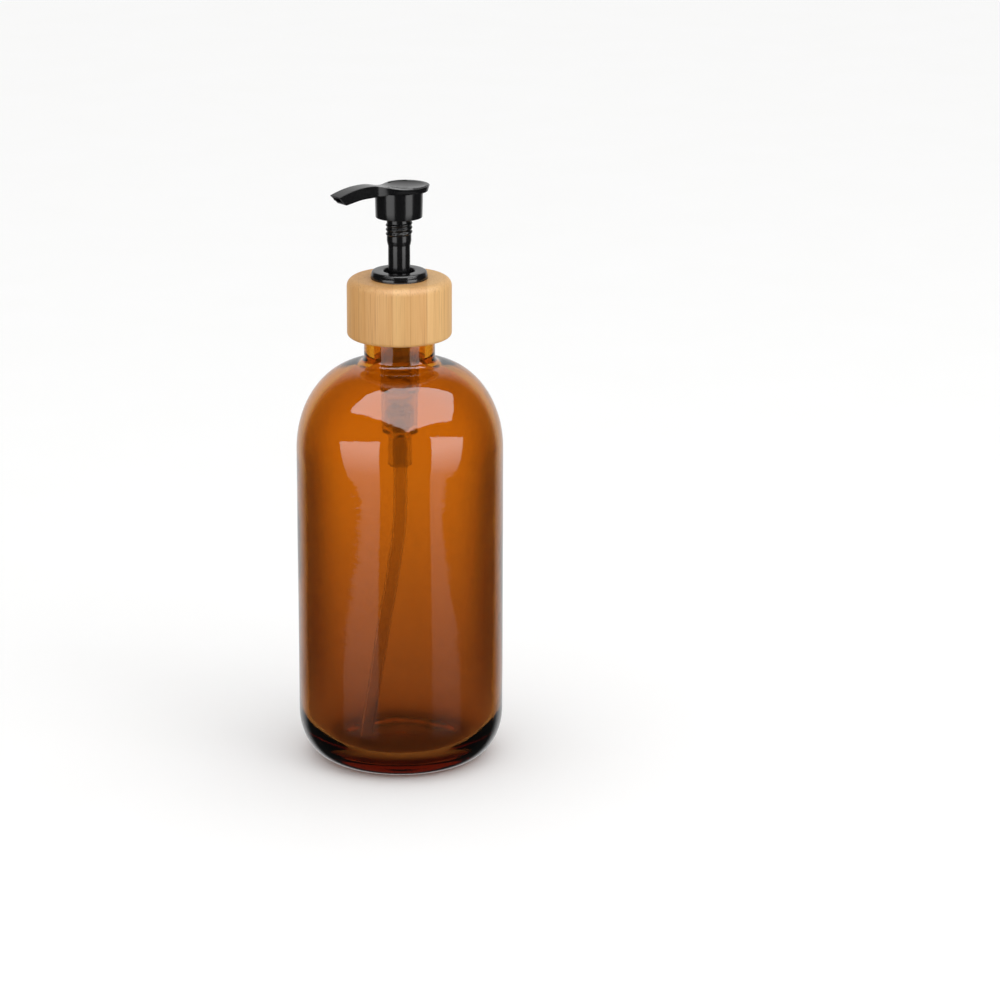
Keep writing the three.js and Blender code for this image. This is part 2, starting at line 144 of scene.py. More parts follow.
class PumpSizes(bpy.types.PropertyGroup):
    cylinder: length("Cylinder radius", "Outer radius of the pump's cylinder", 7 * MM)
    cylinder_bore: length("Cylinder bore", "Bore that the piston runs in", 6 * MM)
    chamber: length("Chamber radius", "Outer radius of the valve chamber", 6.5 * MM)
    chamber_bore: length("Chamber bore", "Bore of the valve chamber", 5.4 * MM)
    chamber_top: length("Chamber top", "Height of the step in the cylinder", 138 * MM)
    valve: length("Valve seat", "Height of the chamber's floor", 123.5 * MM)
    flange: length("Flange radius", "Radius of the flange on the lip", reach("neck_gasket"))
    collar: length("Collar radius", "Outer radius of the collar", reach("locking_collar"))
    collar_top: length("Collar top", "Height of the collar", top("locking_collar"))
    collar_hole: length("Collar hole", "Radius of the hole in the collar", 5.55 * MM)
    stem: length("Stem radius", "Outer radius of the stem", reach("stem"))
    stem_bore: length("Stem bore", "Bore of the stem", 2.4 * MM)
    piston: length("Piston radius", "Radius of the piston's lips", reach("piston"))
    ball: length("Ball radius", "Radius of the inlet ball", reach("inlet_ball"))
    spring: length("Spring radius", "Radius of the coil's centre line", 4.1 * MM)
    wire: length("Wire radius", "Radius of the spring's wire", 0.5 * MM)
    tube: length("Tube radius", "Outer radius of the dip tube", 2.5 * MM)
    tube_wall: length("Tube wall", "Wall of the dip tube", 0.7 * MM)


class HeadSizes(bpy.types.PropertyGroup):
    tip: length("Spout tip", "Where the spout ends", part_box("actuator")[0].x)
    arch: length("Arch height", "Highest point of the spout", top("actuator"))
    spout: length("Spout half width", "Half width of the spout", 2.75 * MM)
    pad: length("Pad radius", "Radius of the thumb pad", 8.5 * MM)
    pad_centre: length("Pad centre", "Centre of the pad's round end", 3.2 * MM)
    pad_rim: length("Pad rim", "Height of the pad's rim", 213.2 * MM)
    under: length("Underside", "Height of the pad's underside", 211.1 * MM)
    rim: length("Edge rounding", "Rounding of the pad's and the spout's edges", 0.32 * MM)
    wall: length("Spout wall", "Wall round the soap's channel", 0.75 * MM)
    skirt: length("Skirt radius", "Outer radius of the skirt", 8.6 * MM)
    skirt_foot: length("Skirt foot", "Lower edge of the skirt", 202 * MM)
    boss: length("Boss radius", "Radius of the boss under the skirt", 4.4 * MM)
    boss_foot: length("Boss foot", "Lower end of the boss", foot("actuator"))
    thread: length("Thread depth", "How far the boss's thread stands out", 0.36 * MM)


class Finishes(bpy.types.PropertyGroup):
    glass: colour("Glass", "Light left after a millimetre of glass", "#FCF8ED")
    bamboo_light: colour("Bamboo, light", "Palest strips", "#E2B574")
    bamboo_dark: colour("Bamboo, dark", "Darkest strips", "#C58C48")
    glue_line: colour("Glue line", "Joints between the strips", "#8F5A2A")
    black: colour("Black plastic", "Pigment of the head, stem and collar", "#0D0D0E")
    natural: colour("Natural plastic", "Unpigmented polypropylene", "#EFEADF")
    foam: colour("Foam", "Gasket under the flange", "#F4F2EC")
    steel: colour("Steel", "Spring and ball", "#C2C4C6")


class StageSizes(bpy.types.PropertyGroup):
    distance: length("Camera distance", "From the aim to the camera", 1.43)
    aim: length("Aim height", "Height that the camera circles", 0.085)
    floor: length("Floor half width", "Half the side of the floor", 8.0)
    studio: length("Studio radius", "Distance of the softboxes from the bottle", 0.7)


class DispenserSettings(bpy.types.PropertyGroup):
    bottle: PointerProperty(type=BottleSizes)
    cap: PointerProperty(type=CapSizes)
    pump: PointerProperty(type=PumpSizes)
    head: PointerProperty(type=HeadSizes)
    finishes: PointerProperty(type=Finishes)
    stage: PointerProperty(type=StageSizes)


# ---------- Outlines: points in (radius, height) ----------


def arc(centre, radii, start, end, steps):
    """An elliptical arc between two angles in degrees."""
    angles = [math.radians(start + (end - start) * i / steps) for i in range(steps + 1)]
    return [
        (centre[0] + radii[0] * math.cos(a), centre[1] + radii[1] * math.sin(a)) for a in angles
    ]


def bow(start, pull, end, steps):
    """A curve that leaves start and reaches end in the direction of pull."""
    points = []
    for i in range(steps + 1):
        t = i / steps
        a, b, c = (1 - t) ** 2, 2 * t * (1 - t), t * t
        points.append(tuple(a * s + b * p + c * e for s, p, e in zip(start, pull, end)))
    return points


def straight(start, end, steps):
    """A straight stretch in equal steps, without its first point."""
    shares = [i / steps for i in range(1, steps + 1)]
    return [tuple(s + (e - s) * t for s, e in zip(start, end)) for t in shares]


def eased(corners, setback, steps=3):
    """An outline through corners, each but those on the axis rounded off over setback."""
    points = []
    for i, corner in enumerate(corners):
        if corner[0] == 0:
            points.append(corner)
            continue
        here = Vector(corner)
        before = Vector(corners[i - 1]) - here
        after = Vector(corners[(i + 1) % len(corners)]) - here
        start = here + before.normalized() * min(setback, before.length * 0.4)
        end = here + after.normalized() * min(setback, after.length * 0.4)
        points += bow(start, here, end, steps)
    return points


# ---------- Mesh work ----------


def draw(name, points):
    """Draws a line from a single vertex, point by point, and leaves it in edit mode."""
    bpy.ops.object.select_all(action="DESELECT")
    bpy.ops.mesh.primitive_plane_add(size=MM)
    piece = bpy.context.object
    piece.name = name
    piece.data.name = name
    bpy.ops.object.mode_set(mode="EDIT")
    bpy.ops.mesh.select_mode(type="VERT")
    bpy.ops.mesh.select_all(action="SELECT")
    bpy.ops.mesh.merge(type="CENTER")
    here = Vector(points[0])
    bpy.ops.transform.translate(value=here)
    for point in points[1:]:
        there = Vector(point)
        bpy.ops.mesh.extrude_region_move(TRANSFORM_OT_translate={"value": there - here})
        here = there
    return piece


def close(piece):
    """Merges doubles, turns all faces outwards and leaves edit mode."""
    bpy.ops.mesh.select_all(action="SELECT")
    bpy.ops.mesh.remove_doubles(threshold=MERGE)
    bpy.ops.mesh.normals_make_consistent(inside=False)
    bpy.ops.object.mode_set(mode="OBJECT")
    return piece


def turn(name, outline, steps=96, centre=0.0):
    """Spins an outline about a vertical axis on y = 0 into a closed solid."""
    ring = list(outline)
    if ring[0][0] > MERGE:
        ring.append(ring[0])
    piece = draw(name, [(centre + r, 0, z) for r, z in ring])
    bpy.ops.mesh.select_all(action="SELECT")
    bpy.ops.mesh.remove_doubles(threshold=MERGE)
    bpy.ops.mesh.spin(steps=steps, angle=math.tau, center=(centre, 0, 0), axis=(0, 0, 1))
    return close(piece)


def sweep(name, points, radius, capped, resolution=6):
    """Bends a round bar along a line of points."""
    piece = draw(name, points)
    bpy.ops.object.mode_set(mode="OBJECT")
    bpy.ops.object.convert(target="CURVE")
    bar = bpy.context.object
    bar.data.bevel_depth = radius
    bar.data.bevel_resolution = resolution
    bar.data.use_fill_caps = capped
    bpy.ops.object.convert(target="MESH")
    bpy.ops.object.mode_set(mode="EDIT")
    return close(bpy.context.object)


def select(piece, kind, test):
    """Selects only the vertices, edges or faces in edit mode that pass a test."""
    bpy.ops.mesh.select_mode(type=kind)
    bpy.ops.mesh.select_all(action="DESELECT")
    bpy.ops.object.mode_set(mode="OBJECT")
    mesh = piece.data
    parts = {"VERT": mesh.vertices, "EDGE": mesh.edges, "FACE": mesh.polygons}[kind]
    for part in parts:
        part.select = bool(test(part))
    bpy.ops.object.mode_set(mode="EDIT")


def finish(piece, kind, **settings):
    """Adds a modifier with its settings and applies it."""
    modifier = piece.modifiers.new(kind.title(), kind)
    for name, value in settings.items():
        setattr(modifier, name, value)
    bpy.context.view_layer.objects.active = piece
    bpy.ops.object.modifier_apply(modifier=modifier.name)


def combine(piece, tool, operation):
    """Joins a tool to a piece or cuts it out of it."""
    finish(piece, "BOOLEAN", object=tool, operation=operation, solver="EXACT")
    bpy.data.objects.remove(tool, do_unlink=True)


def wind(piece, wall, depth, start, pitch, turns, root, crest):
    """Winds a thread on a finely stepped wall. A negative depth stands in from a bore."""
    fade = 0.08
    for vertex in piece.data.vertices:
        x, y, z = vertex.co
        radius = math.hypot(x, y)
        if abs(radius - wall) > 10 * MERGE:
            continue
        turned = (math.atan2(y, x) % math.tau) / math.tau
        rise = 0
        while turned <= turns:
            off = abs(z - start - pitch * turned)
            flank = min(1, max(0, (root / 2 - off) / ((root - crest) / 2)))
            rise = max(rise, flank * min(1, turned / fade, (turns - turned) / fade))
            turned += 1
        grown = 1 + rise * depth / radius
        vertex.co = (x * grown, y * grown, z)


def fit(piece, material, body, node, sharp=32):
    """Smooths a piece, gives it its material and lets it stand for a CAD node."""
    bpy.ops.object.select_all(action="DESELECT")
    piece.select_set(True)
    bpy.context.view_layer.objects.active = piece
    bpy.ops.object.shade_smooth_by_angle(angle=math.radians(sharp))
    piece.data.materials.clear()
    piece.data.materials.append(material)
    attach(piece, body)
    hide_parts(node)


# ---------- Materials ----------


def node(tree, kind, inputs=None, **settings):
    """Adds a node, sets its properties, and sets its inputs or links them to sockets. A node
    given as an input stands for its first output."""
    made = tree.nodes.new("ShaderNode" + kind)
    for name, value in settings.items():
        setattr(made, name, value)
    for name, value in (inputs or {}).items():
        if isinstance(value, bpy.types.Node):
            value = value.outputs[0]
        if isinstance(value, bpy.types.NodeSocket):
            tree.links.new(value, made.inputs[name])
        else:
            made.inputs[name].default_value = value
    return made


def maths(tree, operation, *values, **settings):
    """A node that does arithmetic with its values."""
    return node(tree, "Math", dict(enumerate(values)), operation=operation, **settings)


def spread(tree, value, low, high, to_low=0, to_high=1, shape="LINEAR"):
    """A node that maps the range from low to high onto another range and stops at its ends."""
    ends = {"From Min": low, "From Max": high, "To Min": to_low, "To Max": to_high}
    return node(tree, "MapRange", {"Value": value, **ends}, interpolation_type=shape)


def blend(tree, share, first, second):
    """The colour between two colours: the first at share 0, the second at share 1."""
    return node(tree, "Mix", {0: share, 6: first, 7: second}, data_type="RGBA").outputs[2]


def shaded(name, **values):
    """A material with one Principled shader, which is returned with its tree and coordinates."""
    material = bpy.data.materials.new(name)
    material.use_nodes = True
    tree = material.node_tree
    shader = tree.nodes["Principled BSDF"]
    for socket, value in values.items():
        shader.inputs[socket.replace("_", " ")].default_value = value
    place = node(tree, "TexCoord").outputs["Object"]
    return material, tree, shader, place


def rgba(value):
    """A colour with its alpha."""
    return (*value, 1)


def per(size):
    """Scale of a texture whose pattern repeats every so many metres."""
    return 1 / size


def amber_glass(finishes):
    """Soda-lime container glass, blown in a mould: clear, orange where the wall is thin and brown
    where light goes through much of it, with slow ripples that fray the highlights. Its colour
    also holds painted shade: darker towards the bottom, and darker at the slanted edges of the
    straight wall."""
    material, tree, shader, place = shaded(
        "Amber soda-lime glass", Transmission_Weight=1.0, IOR=1.52
    )
    height = node(tree, "SeparateXYZ", {0: place}).outputs["Z"]
    # Painted shade: the glass's colour darkens towards the bottom, from #E9AE46 at 135 mm to
    # #BC8C68 near the floor.
    depth = spread(tree, height, 4 * MM, 135 * MM, shape="SMOOTHSTEP")
    amber_and_low_shade = blend(tree, depth, rgba(linear("#BC8C68")), rgba(linear("#E9AE46")))
    # Painted shade: where the straight wall is seen at a slant, above the heel and under the
    # shoulder, its colour darkens to #7A4A20.
    slant = node(tree, "LayerWeight", {"Blend": 0.5}).outputs["Facing"]
    edge_shade_share = spread(tree, slant, 0.14, 0.6, shape="SMOOTHSTEP")
    straight_wall = spread(tree, height, 108 * MM, 140 * MM, 1.0, 0.25)
    above_heel = spread(tree, height, 12 * MM, 32 * MM)
    edge_shade_mask = maths(tree, "MULTIPLY", straight_wall, above_heel)
    # deep is the share of painted edge shade.
    deep = maths(tree, "MULTIPLY", edge_shade_share, edge_shade_mask)
    tint_with_painted_shade = blend(tree, deep, amber_and_low_shade, rgba(linear("#7A4A20")))
    # The base colour carries both painted shades over the glass's own amber.
    tree.links.new(tint_with_painted_shade, shader.inputs["Base Color"])
    stretched = node(tree, "Mapping", {"Vector": place, "Scale": (1, 1, 1.6)})
    ripple = node(
        tree, "TexNoise",
        {"Vector": stretched, "Scale": per(9 * MM), "Detail": 3.0, "Roughness": 0.72}
    )
    patches = node(tree, "TexNoise", {"Vector": place, "Scale": per(24 * MM), "Detail": 1.0})
    strength = spread(tree, patches, 0.4, 0.62, 0.15, 1.0)
    bump = node(tree, "Bump", {"Height": ripple, "Strength": strength, "Distance": 0.09 * MM})
    tree.links.new(bump.outputs[0], shader.inputs["Normal"])
    haze = spread(tree, ripple, 0, 1, 0.01, 0.05)
    tree.links.new(haze.outputs[0], shader.inputs["Roughness"])
    inside = node(tree, "VolumeAbsorption", {"Color": rgba(finishes.glass), "Density": 1000.0})
    output = tree.nodes["Material Output"]
    tree.links.new(inside.outputs[0], output.inputs["Volume"])
    return material


def laminated_bamboo(finishes, strip=6.1 * MM, turned_by=-39):
    """Bamboo strips glued side by side, turned on a lathe and lacquered: upright strips in
    slightly different tones, thin glue lines, fine dark fibres, and dots on the end grain."""
    material, tree, shader, place = shaded("Laminated bamboo", IOR=1.5)
    squared = node(
        tree, "Mapping",
        {"Vector": place, "Rotation": (0, 0, math.radians(-turned_by))}
    ).outputs[0]
    across = node(tree, "SeparateXYZ", {0: squared}).outputs["X"]
    lap = maths(tree, "MULTIPLY_ADD", across, per(strip), 0.38)
    number = maths(tree, "FLOOR", lap)
    within = maths(tree, "FRACT", lap)
    tone = node(tree, "TexWhiteNoise", {"W": number}, noise_dimensions="1D")
    slow = node(tree, "Mapping", {"Vector": squared, "Scale": (1, 1, 0.05)}).outputs[0]
    cloud = node(tree, "TexNoise", {"Vector": slow, "Scale": per(2.2 * MM), "Detail": 3.0})
    shade = maths(tree, "MULTIPLY_ADD", tone, 0.55, -0.12)
    shade = maths(tree, "MULTIPLY_ADD", cloud, 0.75, shade, use_clamp=True)
    wood = blend(tree, shade, rgba(finishes.bamboo_dark), rgba(finishes.bamboo_light))
    thin = node(tree, "Mapping", {"Vector": squared, "Scale": (1, 1, 0.018)}).outputs[0]
    fibre = node(tree, "TexNoise", {"Vector": thin, "Scale": per(0.45 * MM), "Detail": 2.0})
    dark_fibre = spread(tree, fibre, 0.54, 0.74, 0, 0.42)
    fibres = blend(tree, dark_fibre, wood, rgba(finishes.glue_line))
    edge = maths(tree, "SUBTRACT", within, 0.5)
    edge = maths(tree, "ABSOLUTE", edge)
    glue = spread(tree, edge, 0.478, 0.499, 0, 0.5)
    glue = maths(tree, "MULTIPLY", glue, cloud)
    lines = blend(tree, glue, fibres, rgba(finishes.glue_line))
    tree.links.new(lines, shader.inputs["Base Color"])
    satin = spread(tree, fibre, 0, 1, 0.38, 0.62)
    tree.links.new(satin.outputs[0], shader.inputs["Roughness"])
    bump = node(tree, "Bump", {"Height": fibre, "Strength": 0.35, "Distance": 0.05 * MM})
    tree.links.new(bump.outputs[0], shader.inputs["Normal"])
    return material


def moulded(name, colours, grain, rough, relief, **values):
    """A moulded plastic or foam: two close tones, an uneven gloss and a fine surface grain."""
    material, tree, shader, place = shaded(name, **values)
    patches = node(tree, "TexNoise", {"Vector": place, "Scale": per(8 * MM), "Detail": 2.0})
    pigment = blend(tree, patches, rgba(colours[0]), rgba(colours[1]))
    tree.links.new(pigment, shader.inputs["Base Color"])
    fine = node(tree, "TexNoise", {"Vector": place, "Scale": per(grain), "Detail": 2.0})
    gloss = spread(tree, fine, 0, 1, rough[0], rough[1])
    tree.links.new(gloss.outputs[0], shader.inputs["Roughness"])
    bump = node(tree, "Bump", {"Height": fine, "Strength": 0.5, "Distance": relief})
    tree.links.new(bump.outputs[0], shader.inputs["Normal"])
    return material


def brighter(value, factor):
    """A colour made lighter, or darker with a factor under 1."""
    return tuple(min(1, c * factor) for c in value)


def black_polypropylene(finishes):
    """Black polypropylene from a polished mould: deep black, glossy, faintly orange-peeled."""
    black = finishes.black
    return moulded(
        "Black moulded polypropylene", (black, brighter(black, 1.7)), 0.6 * MM, (0.13, 0.2),
        0.004 * MM, IOR=1.49,
    )


def natural_polypropylene(finishes):
    """Unpigmented polypropylene: milky, waxy and letting light into its wall."""
    return moulded(
        "Natural polypropylene", (finishes.natural, brighter(finishes.natural, 0.94)),
        1.2 * MM, (0.12, 0.2), 0.01 * MM, IOR=1.49, Transmission_Weight=0.93,
    )


def clear_polyethylene(finishes):
    """Extruded polyethylene tube: frosted, half clear, with faint lines along it."""
    return moulded(
        "Extruded polyethylene", (finishes.natural, brighter(finishes.natural, 0.9)),
        1.5 * MM, (0.04, 0.1), 0.01 * MM, IOR=1.51, Transmission_Weight=0.97,
    )


def foam(finishes):
    """Closed-cell polyethylene foam: matt white with a pitted skin."""
    return moulded(
        "Closed-cell foam", (finishes.foam, brighter(finishes.foam, 0.9)), 0.35 * MM,
        (0.8, 0.95), 0.12 * MM, IOR=1.45,
    )


def stainless_steel(finishes):
    """Drawn stainless wire and a ground ball: bright, with fine drawing marks."""
    return moulded(
        "Stainless steel", (finishes.steel, brighter(finishes.steel, 0.86)), 0.25 * MM,
        (0.16, 0.3), 0.004 * MM, Metallic=1.0,
    )


# ---------- Pieces ----------


def bottle_outline(s):
    """From the push-up under the bottle, up its outside, over the lip and down its inside."""
    heel = arc((s.foot_radius, s.heel), (s.radius - s.foot_radius, s.heel), -90, 0, 16)
    centre = (s.radius - s.shoulder_width, s.shoulder)
    shoulder = arc(centre, (s.shoulder_width, s.shoulder_height), 0, 82, 34)
    neck = (s.neck_radius, s.neck)
    bead = s.neck + 6 * MM
    root = bead + 0.5 * MM
    rim, mouth = 0.8 * MM, s.lip
    outside = (
        bow((0, 2.4 * MM), (14 * MM, 2.2 * MM), (s.foot_radius - 3 * MM, 0), 8)
        + straight((s.foot_radius - 3 * MM, 0), (s.foot_radius, 0), 3)
        + heel[1:]
        + straight(heel[-1], shoulder[0], 40)
        + shoulder[1:]
        + bow(shoulder[-1], (s.neck_radius, s.neck - 3.2 * MM), neck, 12)[1:]
        + straight(neck, (s.neck_radius, bead), 4)
        + bow((s.neck_radius, bead), (s.neck_radius, root), (s.finish, root), 3)[1:]
        + straight((s.finish, root), (s.finish, mouth - rim), 50)
        + arc((s.finish - rim, mouth - rim), (rim, rim), 0, 90, 5)[1:]
    )
    inner = s.radius - s.wall
    inner_foot = s.radius - s.heel_wall
    low = arc((inner_foot - 11 * MM, s.floor + 12.6 * MM), (11 * MM, 13 * MM), 0, -90, 14)
    dome = arc((10.3 * MM, s.shoulder - 2 * MM), (inner - 10.3 * MM, 31 * MM), 82, 0, 30)
    inside = (
        arc((s.bore + rim, mouth - rim), (rim, rim), 90, 180, 5)
        + straight((s.bore, mouth - rim), (s.bore, s.neck - 1 * MM), 12)
        + bow((s.bore, s.neck - 1 * MM), (s.bore, s.neck - 5.3 * MM), dome[0], 12)[1:]
        + dome[1:]
        + straight(dome[-1], low[0], 40)
        + low[1:]
        + bow(low[-1], (12 * MM, s.floor), (0, s.floor + 1 * MM), 8)[1:]
    )
    return outside + inside


class DISPENSER_OT_bottle(bpy.types.Operator):
    """Blown glass bottle with its screw finish"""

    bl_idname = "dispenser.bottle"
    bl_label = "Glass bottle"

    def execute(self, context):
        s = context.scene.dispenser.bottle
        piece = turn("glass_bottle", bottle_outline(s), 168)
        wind(piece, s.finish, s.thread, s.thread_foot, PITCH, 1.15, 2 * MM, 1.1 * MM)
        swirl = bpy.data.textures.new("Uneven wall", "CLOUDS")
        swirl.noise_scale = 22 * MM
        swirl.noise_depth = 1
        finish(
            piece, "DISPLACE", texture=swirl, strength=s.waves, mid_level=0.5,
            texture_coords="LOCAL",
        )
        material = amber_glass(context.scene.dispenser.finishes)
        fit(piece, material, "bottle", "bottle", 40)
        return {"FINISHED"}


class DISPENSER_OT_bamboo_cap(bpy.types.Operator):
    """Turned bamboo sleeve glued over the moulded closure"""

    bl_idname = "dispenser.bamboo_cap"
    bl_label = "Bamboo sleeve"

    def execute(self, context):
        s = context.scene.dispenser.cap
        gap = 0.1 * MM
        low, high = s.foot_round, s.top_round
        outline = (
            arc((s.radius - low, s.foot + low), (low, low), -90, 0, 8)
            + arc((s.radius - high, s.top - high), (high, high), 0, 90, 14)
            + eased(
                [
                    (s.hub + gap, s.top), (s.hub + gap, s.closure_top + gap),
                    (s.closure + gap, s.closure_top + gap), (s.closure + gap, s.foot)
                ],
                0.3 * MM,
            )
        )
        piece = turn("bamboo_sleeve", outline, 160)
        material = laminated_bamboo(context.scene.dispenser.finishes)
        fit(piece, material, "closure", "bamboo_cap")
        return {"FINISHED"}


class DISPENSER_OT_closure(bpy.types.Operator):
    """Moulded screw closure inside the bamboo"""

    bl_idname = "dispenser.closure"
    bl_label = "Screw closure"

    def execute(self, context):
        s = context.scene.dispenser.cap
        low, roof = s.foot + 0.4 * MM, s.closure_top - 1.9 * MM
        shell = eased(
            [
                (s.closure, low), (s.closure, s.closure_top), (s.hub, s.closure_top),
                (s.hub, s.top - 0.4 * MM), (s.hub - 1 * MM, s.top - 0.4 * MM),
                (s.hub - 1 * MM, roof)
            ],
            0.25 * MM,
        )
        bore = [(s.bore, roof)] + straight((s.bore, roof), (s.bore, low), 60)
        piece = turn("screw_closure", shell + bore, 144)
        wind(piece, s.bore, -s.thread, s.thread_foot, PITCH, 1.15, 1.7 * MM, 0.9 * MM)
        material = black_polypropylene(context.scene.dispenser.finishes)
        fit(piece, material, "closure", "threaded_closure")
        return {"FINISHED"}


class DISPENSER_OT_collar(bpy.types.Operator):
    """Collar that snaps into the housing and guides the stem"""

    bl_idname = "dispenser.collar"
    bl_label = "Collar"

    def execute(self, context):
        s = context.scene.dispenser.pump
        cap = context.scene.dispenser.cap
        seat, low = cap.top + 0.1 * MM, foot("locking_collar")
        guide = s.stem + 0.2 * MM
        rim = eased(
            [
                (guide, low), (s.cylinder_bore - 0.2 * MM, low),
                (s.cylinder_bore - 0.2 * MM, 172.7 * MM), (7.4 * MM, 172.7 * MM),
                (7.4 * MM, 177.1 * MM), (cap.hub - 1.2 * MM, 177.1 * MM),
                (cap.hub - 1.2 * MM, seat), (s.collar, seat)
            ],
            0.25 * MM,
        )
        brow = s.collar_top - 0.8 * MM
        outside = straight((s.collar, seat + 0.3 * MM), (s.collar - 0.45 * MM, brow), 3)
        crown = arc((s.collar - 1.25 * MM, brow), (0.8 * MM, 0.8 * MM), 0, 90, 7)
        hole = arc(
            (s.collar_hole + 0.6 * MM, s.collar_top - 0.6 * MM), (0.6 * MM, 0.6 * MM), 90, 180, 5
        )
        throat = straight(hole[-1], (s.collar_hole, 176.2 * MM), 30) + [(guide, 175.4 * MM)]
        piece = turn("snap_collar", rim + outside + crown + hole + throat, 128)
        wind(
            piece, s.collar_hole, -0.65 * MM, s.collar_top - 4.6 * MM, LOCK_PITCH, 1.6,
            1 * MM, 0.3 * MM,
        )
        material = black_polypropylene(context.scene.dispenser.finishes)
        fit(piece, material, "pump_body", "locking_collar")
        return {"FINISHED"}


def smooth(x, low, high):
    """Eases from 0 at low to 1 at high."""
    t = min(1, max(0, (x - low) / (high - low)))
    return t * t * (3 - 2 * t)


def mix(a, b, share):
    """The value a given share of the way from a to b."""
    return a + (b - a) * share


def bar(name, stations, half, low, high, narrowing):
    """A tube of square section along X, drawn out station by station, open at its last one."""
    bpy.ops.object.select_all(action="DESELECT")
    bpy.ops.mesh.primitive_plane_add(size=1)
    piece = bpy.context.object
    piece.name = name
    bpy.ops.object.mode_set(mode="EDIT")
    bpy.ops.mesh.select_all(action="SELECT")
    bpy.ops.transform.rotate(value=math.pi / 2, orient_axis="Y", center_override=(0, 0, 0))
    bpy.ops.mesh.delete(type="ONLY_FACE")
    select(piece, "VERT", lambda v: v.co.z < 0)
    bpy.ops.transform.resize(value=(1, narrowing, 1), center_override=(0, 0, 0))
    bpy.ops.mesh.select_all(action="SELECT")
    bpy.ops.mesh.subdivide(number_cuts=9)
    x, width, tall, level = 0, 1, 1, 0
    for i, station in enumerate(stations):
        new_width, new_tall = 2 * half(station), high(station) - low(station)
        new_level = (high(station) + low(station)) / 2
        step = (station - x, 0, new_level - level)
        if i == 0:
            bpy.ops.transform.translate(value=step)
        else:
            bpy.ops.mesh.extrude_region_move(TRANSFORM_OT_translate={"value": step})
        x, level = station, new_level
        bpy.ops.transform.resize(
            value=(1, new_width / width, new_tall / tall), center_override=(x, 0, level)
        )
        width, tall = new_width, new_tall
    return piece


def spout_shape(s):
    """Half width, underside and top of the pad and spout as functions of x."""

    def half(x):
        return mix(s.spout, s.pad, smooth(x, -12 * MM, s.pad_centre))

    def low(x):
        return s.under - 1.3 * MM * smooth(-x, 17 * MM, -s.tip)

    def high(x):
        arch = s.arch - 2.1 * MM * ((x + 16.5 * MM) / (12.5 * MM)) ** 2
        return mix(arch, s.pad_rim, smooth(x, -14 * MM, s.pad_centre))

    return half, low, high


def pad_and_spout(s):
    """The arched spout, spread into the pad and closed by the pad's round end."""
    half, low, high = spout_shape(s)
    start, steps = s.tip - 0.6 * MM, 42
    stations = [mix(start, s.pad_centre, i / steps) for i in range(steps + 1)]
    piece = bar("pump_head", stations, half, low, high, 0.93)
    select(piece, "VERT", lambda v: v.co.x > s.pad_centre - MERGE and v.co.y > -MERGE)
    bpy.ops.mesh.spin(steps=36, angle=math.pi, center=(s.pad_centre, 0, 0), axis=(0, 0, 1))
    bpy.ops.mesh.select_all(action="SELECT")
    bpy.ops.mesh.remove_doubles(threshold=MERGE)
    select(piece, "VERT", lambda v: v.co.x < start + MERGE)
    bpy.ops.mesh.edge_face_add()
    bpy.ops.mesh.select_all(action="SELECT")
    bpy.ops.mesh.normals_make_consistent(inside=False)
    bpy.ops.mesh.bisect(
        plane_co=(s.tip, 0, high(s.tip)), plane_no=(-3, 0, -2), use_fill=True, clear_outer=True
    )
    bpy.ops.mesh.select_mode(type="EDGE")
    bpy.ops.mesh.select_all(action="DESELECT")
    bpy.ops.mesh.edges_select_sharp(sharpness=math.radians(50))
    bpy.ops.object.mode_set(mode="OBJECT")
    points = piece.data.vertices
    for edge in piece.data.edges:
        ends = [points[i].co for i in edge.vertices]
        middle = (ends[0] + ends[1]) / 2
        across = abs(ends[0].y - ends[1].y) > abs(ends[0].x - ends[1].x)
        edge.select = edge.select and not (across and middle.x < s.tip + 3 * MM)
    bpy.ops.object.mode_set(mode="EDIT")
    bpy.ops.mesh.bevel(offset=s.rim, segments=4, affect="EDGES", clamp_overlap=True)
    return close(piece)


def soap_channel(s):
    """The channel from the stem to the outlet, as a cutter."""
    low, high = spout_shape(s)[1:]

    def inner_low(x):
        return mix(s.under - 2.1 * MM, low(x) + s.wall, smooth(-x, 3 * MM, 12 * MM))

    def inner_high(x):
        return mix(s.under - 0.5 * MM, high(x) - s.wall, smooth(-x, 3 * MM, 12 * MM))

    stations = [mix(s.tip - 3 * MM, 0, i / 30) for i in range(31)]
    piece = bar("channel", stations, lambda x: s.spout - s.wall, inner_low, inner_high, 0.9)
    bpy.ops.mesh.select_mode(type="EDGE")
    bpy.ops.mesh.select_all(action="DESELECT")
    bpy.ops.mesh.select_non_manifold()
    bpy.ops.mesh.fill_holes(sides=0)
    return close(piece)


def grip_arrow(s, middle):
    """A raised double arrow on the pad's rim, which shows that the head turns."""
    inner, outer, barb = s.pad - 1.25 * MM, s.pad - 0.75 * MM, 0.3 * MM
    start, end, head = middle - 0.55, middle + 0.55, 0.14
    band = [start + head + (end - start - 2 * head) * i / 16 for i in range(17)]
    polar = [(s.pad - 1 * MM, start), (inner - barb, start + head)]
    polar += [(inner, a) for a in band] + [(inner - barb, end - head), (s.pad - 1 * MM, end)]
    polar += [(outer + barb, end - head)] + [(outer, a) for a in band[::-1]]
    polar += [(outer + barb, start + head)]
    low = s.pad_rim - 0.6 * MM
    points = [(s.pad_centre + r * math.cos(a), r * math.sin(a), low) for r, a in polar]
    piece = draw("arrow", points + points[:1])
    bpy.ops.mesh.select_all(action="SELECT")
    bpy.ops.mesh.remove_doubles(threshold=MERGE)
    bpy.ops.mesh.edge_face_add()
    bpy.ops.mesh.extrude_region_move(TRANSFORM_OT_translate={"value": (0, 0, 0.76 * MM)})
    return close(piece)


